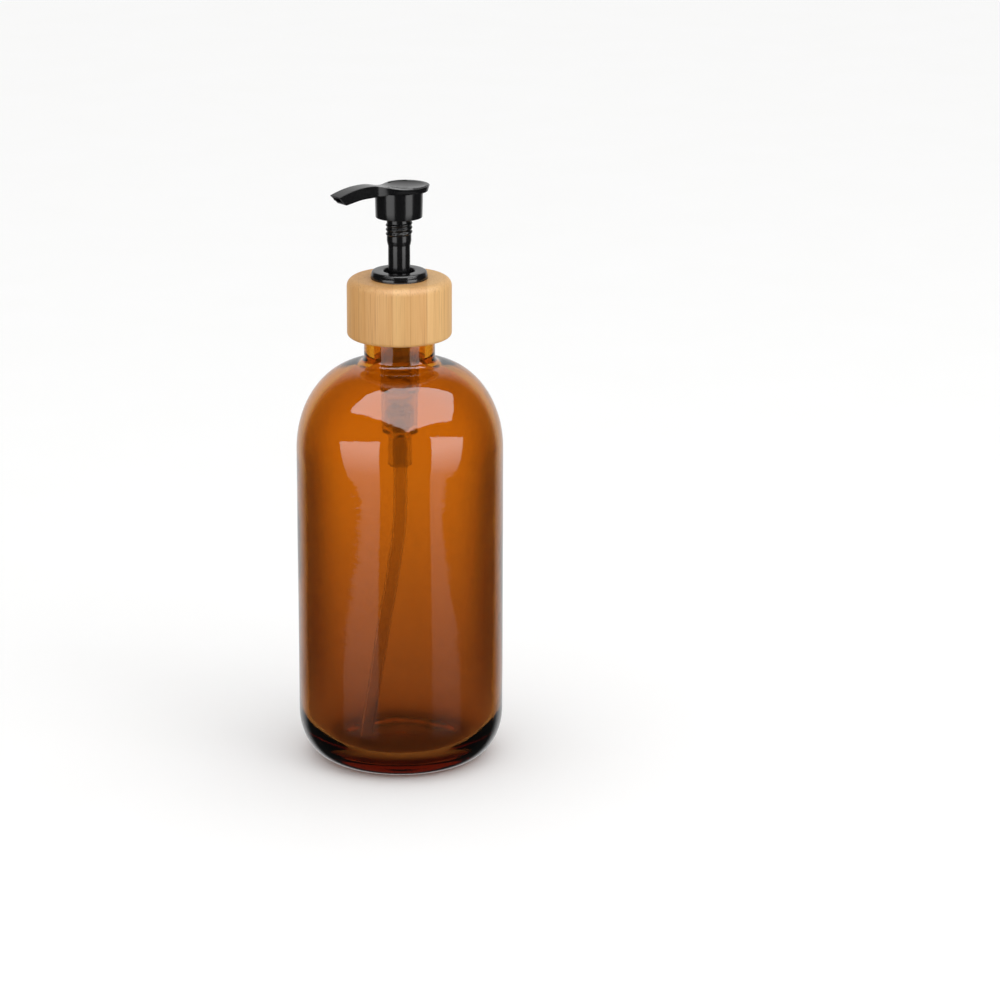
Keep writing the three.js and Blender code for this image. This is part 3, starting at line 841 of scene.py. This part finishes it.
class DISPENSER_OT_head(bpy.types.Operator):
    """Pump head: thumb pad, spout, skirt and threaded boss"""

    bl_idname = "dispenser.head"
    bl_label = "Pump head"

    def execute(self, context):
        s = context.scene.dispenser.head
        stem = context.scene.dispenser.pump.stem + 0.1 * MM
        piece = pad_and_spout(s)
        roof = s.under - 2.4 * MM
        skirt_bore = s.skirt - 1.2 * MM
        skirt = turn("skirt", skirt_outline(s, skirt_bore, roof), 112)
        combine(piece, skirt, "UNION")
        boss = turn("boss", boss_outline(s), 112)
        wind(boss, s.boss, s.thread, 195.2 * MM, LOCK_PITCH, 3.2, 1.2 * MM, 0.4 * MM)
        combine(piece, boss, "UNION")
        dish = turn("dish", dish_outline(s), 96, s.pad_centre + 0.3 * MM)
        combine(piece, dish, "DIFFERENCE")
        for middle in (1.35, -1.35):
            combine(piece, grip_arrow(s, middle), "UNION")
        combine(piece, soap_channel(s), "DIFFERENCE")
        socket_top = top("stem") + 0.1 * MM
        socket = turn(
            "socket",
            [
                (0, s.boss_foot - 1 * MM), (stem + 0.3 * MM, s.boss_foot - 1 * MM),
                (stem + 0.3 * MM, s.boss_foot), (stem, s.boss_foot + 0.4 * MM),
                (stem, socket_top), (2.4 * MM, socket_top), (2.4 * MM, s.under - 1 * MM),
                (0, s.under - 1 * MM)
            ],
            96,
        )
        combine(piece, socket, "DIFFERENCE")
        material = black_polypropylene(context.scene.dispenser.finishes)
        fit(piece, material, "head", "actuator", 35)
        return {"FINISHED"}


def skirt_outline(s, bore, roof):
    """The round skirt that hides the boss's upper end, closed by the pad over it."""
    edge = 0.25 * MM
    foot_radius = s.skirt - 0.2 * MM
    return (
        [(0, roof)]
        + straight((0, roof), (bore, roof), 2)
        + bow((bore, s.skirt_foot + edge), (bore, s.skirt_foot), (bore + edge, s.skirt_foot), 3)
        + bow(
            (foot_radius - edge, s.skirt_foot), (foot_radius, s.skirt_foot),
            (foot_radius, s.skirt_foot + edge), 3
        )
        + straight((foot_radius, s.skirt_foot + edge), (s.skirt, s.under + 0.4 * MM), 4)
        + [(0, s.under + 0.4 * MM)]
    )


def boss_outline(s):
    """The boss round the stem's upper end, with a finely stepped wall for its thread."""
    taper = s.boss_foot + 1.8 * MM
    thread_top = 201.4 * MM
    return (
        [(0, s.boss_foot), (s.boss - 0.35 * MM, s.boss_foot), (s.boss, taper)]
        + straight((s.boss, taper), (s.boss, thread_top), 56)
        + [(s.boss + 0.3 * MM, thread_top + 0.5 * MM), (s.boss + 0.3 * MM, s.under - 1 * MM)]
        + [(0, s.under - 1 * MM)]
    )


def dish_outline(s):
    """A lens that hollows the thumb pad."""
    rim = s.pad_rim
    return (
        bow((0, rim - 0.8 * MM), (4.8 * MM, rim - 0.7 * MM), (7 * MM, rim + 0.05 * MM), 12)
        + [(7 * MM, rim + 4 * MM), (0, rim + 4 * MM)]
    )


class DISPENSER_OT_stem(bpy.types.Operator):
    """Hollow stem that carries the head"""

    bl_idname = "dispenser.stem"
    bl_label = "Stem"

    def execute(self, context):
        s = context.scene.dispenser.pump
        low, high = foot("stem"), top("stem")
        corners = [(s.stem_bore, low), (s.stem, low), (s.stem, high), (s.stem_bore, high)]
        outline = eased(corners, 0.3 * MM)
        piece = turn("plunger_stem", outline, 72)
        material = black_polypropylene(context.scene.dispenser.finishes)
        fit(piece, material, "head", "stem")
        return {"FINISHED"}


class DISPENSER_OT_housing(bpy.types.Operator):
    """Pump cylinder with its flange, hub, vent hole and tube socket"""

    bl_idname = "dispenser.housing"
    bl_label = "Pump housing"

    def execute(self, context):
        s = context.scene.dispenser.pump
        flange, high, low = 170.2 * MM, top("pump_housing"), foot("pump_housing")
        tube = s.tube + 0.1 * MM
        outline = eased(
            [
                (tube, low), (4.35 * MM, low), (4.35 * MM, s.valve - 2 * MM),
                (s.chamber, s.valve), (s.chamber, s.chamber_top - 0.5 * MM),
                (s.cylinder, s.chamber_top), (s.cylinder, flange), (s.flange, flange),
                (s.flange, flange + 1.2 * MM), (8.6 * MM, flange + 1.2 * MM), (8.6 * MM, high),
                (7.5 * MM, high), (7.5 * MM, flange + 2.2 * MM),
                (s.cylinder_bore, flange + 2.2 * MM), (s.cylinder_bore, s.chamber_top + 1 * MM),
                (s.chamber_bore, s.chamber_top), (s.chamber_bore, s.valve + 2.6 * MM),
                (3.4 * MM, s.valve + 2.3 * MM), (1.6 * MM, s.valve),
                (1.6 * MM, s.valve - 2 * MM), (tube, s.valve - 2 * MM)
            ],
            0.35 * MM,
        )
        piece = turn("pump_cylinder", outline, 96)
        vent = turn("vent", [(0, 0), (0.6 * MM, 0), (0.6 * MM, 4 * MM), (0, 4 * MM)], 24)
        for vertex in vent.data.vertices:
            x, y, z = vertex.co
            vertex.co = (z + 5 * MM, y, x + 166.5 * MM)
        combine(piece, vent, "DIFFERENCE")
        material = natural_polypropylene(context.scene.dispenser.finishes)
        fit(piece, material, "pump_body", "pump_housing")
        return {"FINISHED"}


class DISPENSER_OT_plunger(bpy.types.Operator):
    """Piston with its two lips, and the rod pressed into the stem"""

    bl_idname = "dispenser.plunger"
    bl_label = "Piston and rod"

    def execute(self, context):
        s = context.scene.dispenser.pump
        material = natural_polypropylene(context.scene.dispenser.finishes)
        low, high = foot("piston"), top("piston")
        lips = eased(
            [
                (3.1 * MM, low), (4.4 * MM, low), (5.2 * MM, low + 0.6 * MM), (s.piston, low),
                (s.piston, low + 0.8 * MM), (5 * MM, low + 1.6 * MM), (5 * MM, high - 1.6 * MM),
                (s.piston, high - 0.8 * MM), (s.piston, high), (5.2 * MM, high - 0.6 * MM),
                (4.4 * MM, high), (3.1 * MM, high)
            ],
            0.2 * MM,
            2,
        )
        fit(turn("piston_seal", lips, 96), material, "piston", "piston")
        low, high, disc = foot("piston_rod"), top("piston_rod"), 161.2 * MM
        plug = s.stem_bore - 0.1 * MM
        shank = [
            (0, low), (2.6 * MM, low), (3 * MM, low + 1 * MM), (3 * MM, disc), (4.7 * MM, disc),
            (4.7 * MM, disc + 1 * MM), (3.2 * MM, disc + 1.5 * MM), (plug, disc + 1.9 * MM),
            (plug, high), (0, high)
        ]
        rod = turn("valve_rod", eased(shank, 0.2 * MM, 2), 64)
        for side in (-1, 1):
            bpy.ops.mesh.primitive_cube_add(size=1)
            groove = bpy.context.object
            groove.dimensions = (1 * MM, 6 * MM, 16 * MM)
            groove.location = (0, side * 4 * MM, 171.7 * MM)
            bpy.ops.object.transform_apply(location=True, rotation=True, scale=True)
            combine(rod, groove, "DIFFERENCE")
        fit(rod, material, "piston_rod", "piston_rod")
        return {"FINISHED"}


class DISPENSER_OT_inlet_valve(bpy.types.Operator):
    """Inlet ball and the slotted cage over it"""

    bl_idname = "dispenser.inlet_valve"
    bl_label = "Inlet valve"

    def execute(self, context):
        s = context.scene.dispenser.pump
        finishes = context.scene.dispenser.finishes
        low, spigot = foot("ball_retainer"), top("ball_retainer")
        high = spigot - 2.4 * MM
        outer = s.chamber_bore - 0.1 * MM
        shell = [
            (0, high - 1.2 * MM), (3.5 * MM, high - 1.2 * MM), (3.5 * MM, low), (outer, low),
            (outer, high), (3.3 * MM, high), (3.3 * MM, spigot), (0, spigot)
        ]
        cage = turn("ball_cage", eased(shell, 0.15 * MM, 2), 72)
        for size in ((8 * MM, 1.5 * MM, 6 * MM), (1.5 * MM, 8 * MM, 6 * MM)):
            bpy.ops.mesh.primitive_cube_add(size=1)
            slot = bpy.context.object
            slot.dimensions = size
            slot.location = (0, 0, high + 1 * MM)
            bpy.ops.object.transform_apply(location=True, rotation=True, scale=True)
            combine(cage, slot, "DIFFERENCE")
        material = natural_polypropylene(finishes)
        fit(cage, material, "pump_body", "ball_retainer")
        centre = (foot("inlet_ball") + top("inlet_ball")) / 2
        ball = turn("check_ball", arc((0, centre), (s.ball, s.ball), -90, 90, 24), 48)
        fit(ball, stainless_steel(finishes), "inlet_ball", "inlet_ball")
        return {"FINISHED"}


class DISPENSER_OT_gasket(bpy.types.Operator):
    """Foam gasket on the bottle's lip"""

    bl_idname = "dispenser.gasket"
    bl_label = "Gasket"

    def execute(self, context):
        s = context.scene.dispenser.pump
        low, high = foot("neck_gasket"), top("neck_gasket")
        inner = s.cylinder + 0.4 * MM
        corners = [(inner, low), (s.flange, low), (s.flange, high), (inner, high)]
        outline = eased(corners, 0.2 * MM)
        piece = turn("lip_gasket", outline, 96)
        material = foam(context.scene.dispenser.finishes)
        fit(piece, material, "pump_body", "neck_gasket")
        return {"FINISHED"}


class DISPENSER_OT_dip_tube(bpy.types.Operator):
    """Dip tube, curled towards the foot of the wall and cut at a slant"""

    bl_idname = "dispenser.dip_tube"
    bl_label = "Dip tube"

    def execute(self, context):
        s = context.scene.dispenser.pump
        high, end_x, end_z, bend_z, bend = 121.4 * MM, -17 * MM, 7 * MM, 93 * MM, 14 * MM
        run = bend_z - end_z
        points = []
        for i in range(61):
            z = mix(high, end_z - 3 * MM, i / 60)
            below = max(0, bend_z - z)
            drop = below * below / (2 * bend) if below < bend else below - bend / 2
            points.append((end_x * drop / (run - bend / 2), 0, z))
        piece = sweep("suction_tube", points, s.tube, False, 10)
        bpy.ops.object.mode_set(mode="EDIT")
        bpy.ops.mesh.select_all(action="SELECT")
        bpy.ops.mesh.bisect(
            plane_co=(end_x, 0, end_z + 2.2 * MM), plane_no=(0.55, 0, -1), clear_outer=True
        )
        bpy.ops.object.mode_set(mode="OBJECT")
        finish(piece, "SOLIDIFY", thickness=s.tube_wall, offset=-1)
        bpy.ops.object.mode_set(mode="EDIT")
        close(piece)
        material = clear_polyethylene(context.scene.dispenser.finishes)
        fit(piece, material, "pump_body", "dip_tube", 45)
        return {"FINISHED"}


class DISPENSER_OT_spring(bpy.types.Operator):
    """Return spring with closed end coils"""

    bl_idname = "dispenser.spring"
    bl_label = "Return spring"

    def execute(self, context):
        s = context.scene.dispenser.pump
        low = foot("return_spring") + s.wire
        high = top("return_spring") - s.wire
        turns, per_turn, closed = 9, 32, 2.15 * s.wire
        pitch = (high - low - 2 * closed) / (turns - 2)
        points = []
        for i in range(turns * per_turn + 1):
            turned = i / per_turn
            open_turns = min(max(turned - 1, 0), turns - 2)
            z = low + closed * (turned - open_turns) + pitch * open_turns
            angle = math.tau * turned
            points.append((s.spring * math.cos(angle), s.spring * math.sin(angle), z))
        piece = sweep("coil_spring", points, s.wire, True, 4)
        material = stainless_steel(context.scene.dispenser.finishes)
        fit(piece, material, "pump_body", "return_spring", 50)
        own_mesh(piece)
        return {"FINISHED"}


# ---------- Stage ----------

VIEW_AZIMUTH, VIEW_ELEVATION = -39.0, 17.28
AIM_RIGHT, AIM_UP, ROLL = 1.46, 0.434, -0.252
LENS = 140.98


def place_camera(stage):
    """A long lens at the bottle's left front, aimed a little to its right."""
    azimuth, elevation = math.radians(VIEW_AZIMUTH), math.radians(VIEW_ELEVATION)
    back = Vector(
        (
            math.sin(azimuth) * math.cos(elevation), -math.cos(azimuth) * math.cos(elevation),
            math.sin(elevation)
        )
    )
    bpy.ops.object.camera_add()
    camera = bpy.context.object
    camera.name = "Camera"
    camera.location = Vector((0, 0, stage.aim)) + back * stage.distance
    facing = (-back).to_track_quat("-Z", "Y")
    yaw = Quaternion((0, 1, 0), math.radians(-AIM_RIGHT))
    pitch = Quaternion((1, 0, 0), math.radians(AIM_UP))
    roll = Quaternion((0, 0, 1), math.radians(ROLL))
    camera.rotation_mode = "QUATERNION"
    camera.rotation_quaternion = facing @ yaw @ pitch @ roll
    camera.data.lens = LENS
    camera.data.sensor_width = 36
    camera.data.clip_start = 0.05
    camera.data.clip_end = 60
    bpy.context.scene.camera = camera


def light_world():
    """White all round, but dim in front where only the softboxes are mirrored."""
    world = bpy.data.worlds.new("Studio")
    bpy.context.scene.world = world
    world.use_nodes = True
    tree = world.node_tree
    tree.nodes.clear()
    path = node(tree, "LightPath")
    gloss, through = path.outputs["Is Glossy Ray"], path.outputs["Is Transmission Ray"]
    mirrored = maths(tree, "SUBTRACT", gloss, through, use_clamp=True)
    direction = node(tree, "TexCoord").outputs["Generated"]
    azimuth = math.radians(VIEW_AZIMUTH)
    behind = node(
        tree, "VectorMath",
        {0: direction, 1: (-math.sin(azimuth), math.cos(azimuth), 0)}, operation="DOT_PRODUCT"
    )
    backdrop = spread(
        tree, behind.outputs["Value"], 0.58, 0.86, 0.03, 0.75, shape="SMOOTHSTEP"
    )
    strength = node(tree, "Mix", {0: mirrored, 2: 1.0, 3: backdrop})
    background = node(tree, "Background", {"Color": (1, 1, 1, 1), "Strength": strength})
    output = node(tree, "OutputWorld")
    tree.links.new(background.outputs[0], output.inputs["Surface"])


def softbox(name, corners, low, high):
    """A glowing cloth drawn through corners (degrees right of the camera, distance, height),
    brighter towards its upper edge. Only gloss sees it."""
    points = []
    for right, away, height in corners:
        angle = math.radians(VIEW_AZIMUTH + right)
        points.append((away * math.sin(angle), -away * math.cos(angle), height))
    piece = draw(name, points + points[:1])
    bpy.ops.mesh.select_all(action="SELECT")
    bpy.ops.mesh.remove_doubles(threshold=MERGE)
    bpy.ops.mesh.edge_face_add()
    bpy.ops.object.mode_set(mode="OBJECT")
    material = bpy.data.materials.new(name)
    material.use_nodes = True
    tree = material.node_tree
    tree.nodes.clear()
    place = node(tree, "TexCoord").outputs["Object"]
    height = node(tree, "SeparateXYZ", {0: place}).outputs["Z"]
    lower = spread(tree, height, -0.26, -0.1, 0, low)
    upper = spread(tree, height, -0.1, 0.22, 0, high - low)
    both = maths(tree, "ADD", lower, upper)
    glow = node(tree, "Emission", {"Color": (1, 1, 1, 1), "Strength": both})
    output = node(tree, "OutputMaterial")
    tree.links.new(glow.outputs[0], output.inputs["Surface"])
    piece.data.materials.append(material)
    piece.visible_camera = False
    piece.visible_transmission = False
    piece.visible_diffuse = False
    piece.visible_shadow = False


class DISPENSER_OT_stage(bpy.types.Operator):
    """Pale floor, white studio, softboxes and camera"""

    bl_idname = "dispenser.stage"
    bl_label = "Stage"

    def execute(self, context):
        stage = context.scene.dispenser.stage
        place_camera(stage)
        light_world()
        bpy.ops.mesh.primitive_plane_add(size=2 * stage.floor, location=(0, 0, -0.05 * MM))
        floor = context.object
        floor.name = "floor"
        material, tree, shader, place = shaded("Pale matt floor", Roughness=0.9)
        grain = node(tree, "TexNoise", {"Vector": place, "Scale": per(0.05)})
        tone = blend(tree, grain, rgba(linear("#FBFBFA")), rgba(linear("#FDFDFD")))
        tree.links.new(tone, shader.inputs["Base Color"])
        floor.data.materials.append(material)
        floor.visible_glossy = False
        d = stage.studio
        left = [
            (-22.6, d, 0.345), (-70, d, 0.224), (-60, d, -0.07), (-48, d, -0.086),
            (-41, d, -0.1), (-50, d, -0.128),
            (-60, d, -0.163), (-66, d, -0.19), (-66, d, -0.26), (-25, d, -0.26),
            (-24.5, d, -0.16), (-21.7, d, -0.095),
        ]
        right = [
            (35, d, 0.39), (32.3, d, -0.095), (34.3, d, -0.161), (35, d, -0.26),
            (70, d, -0.26), (68.4, d, -0.182), (62, d, -0.164), (50.7, d, -0.129),
            (45, d, -0.1), (52, d, -0.086), (64, d, -0.07), (75.6, d, 0.254),
        ]
        overhead = [
            (8.9, 1.44, 0.94), (-77, 1.06, 0.94), (-111, 0.23, 0.94), (110.6, 0.82, 0.94),
            (70.7, 1.41, 0.94),
        ]
        softbox("softbox_left", left, 0.9, 3.9)
        softbox("softbox_right", right, 0.8, 4.6)
        softbox("softbox_overhead", overhead, 1.0, 5.0)
        bpy.ops.object.light_add(type="AREA", location=(0, 0, 1))
        lamp = context.object
        lamp.name = "key"
        azimuth = math.radians(VIEW_AZIMUTH + 50)
        away, height, watts, aim = 0.8, 0.7, 1.1, Vector((0, 0, 0.15))
        lamp.location = (away * math.sin(azimuth), -away * math.cos(azimuth), height)
        lamp.rotation_mode = "QUATERNION"
        lamp.rotation_quaternion = (aim - lamp.location).to_track_quat("-Z", "Y")
        lamp.data.shape = "RECTANGLE"
        lamp.data.size = lamp.data.size_y = 0.5
        lamp.data.energy = watts
        lamp.visible_camera = False
        lamp.visible_glossy = False
        lamp.visible_transmission = False
        context.scene.view_settings.view_transform = "Standard"
        return {"FINISHED"}


OPERATORS = (
    DISPENSER_OT_stage, DISPENSER_OT_bottle, DISPENSER_OT_bamboo_cap, DISPENSER_OT_closure,
    DISPENSER_OT_collar, DISPENSER_OT_head, DISPENSER_OT_stem, DISPENSER_OT_housing,
    DISPENSER_OT_plunger, DISPENSER_OT_inlet_valve, DISPENSER_OT_gasket, DISPENSER_OT_dip_tube,
    DISPENSER_OT_spring
)


class DISPENSER_PT_sidebar(bpy.types.Panel):
    """Sizes and colours of the dispenser, and a button for each piece"""

    bl_label = "Soap dispenser"
    bl_space_type = "VIEW_3D"
    bl_region_type = "UI"
    bl_category = "Dispenser"

    def draw(self, context):
        for part in ("bottle", "cap", "pump", "head", "finishes", "stage"):
            group = getattr(context.scene.dispenser, part)
            box = self.layout.box()
            box.label(text=part.title())
            for name in group.bl_rna.properties.keys():
                if name not in ("rna_type", "name"):
                    box.prop(group, name)
        for operator in OPERATORS:
            self.layout.operator(operator.bl_idname)


SETTINGS = (BottleSizes, CapSizes, PumpSizes, HeadSizes, Finishes, StageSizes, DispenserSettings)
CLASSES = SETTINGS + OPERATORS + (DISPENSER_PT_sidebar,)


def register():
    for cls in CLASSES:
        bpy.utils.register_class(cls)
    bpy.types.Scene.dispenser = PointerProperty(type=DispenserSettings)


def unregister():
    del bpy.types.Scene.dispenser
    for cls in reversed(CLASSES):
        bpy.utils.unregister_class(cls)


def main():
    register()
    for operator in OPERATORS:
        group, name = operator.bl_idname.split(".")
        getattr(getattr(bpy.ops, group), name)()


if __name__ == "__main__":
    main()
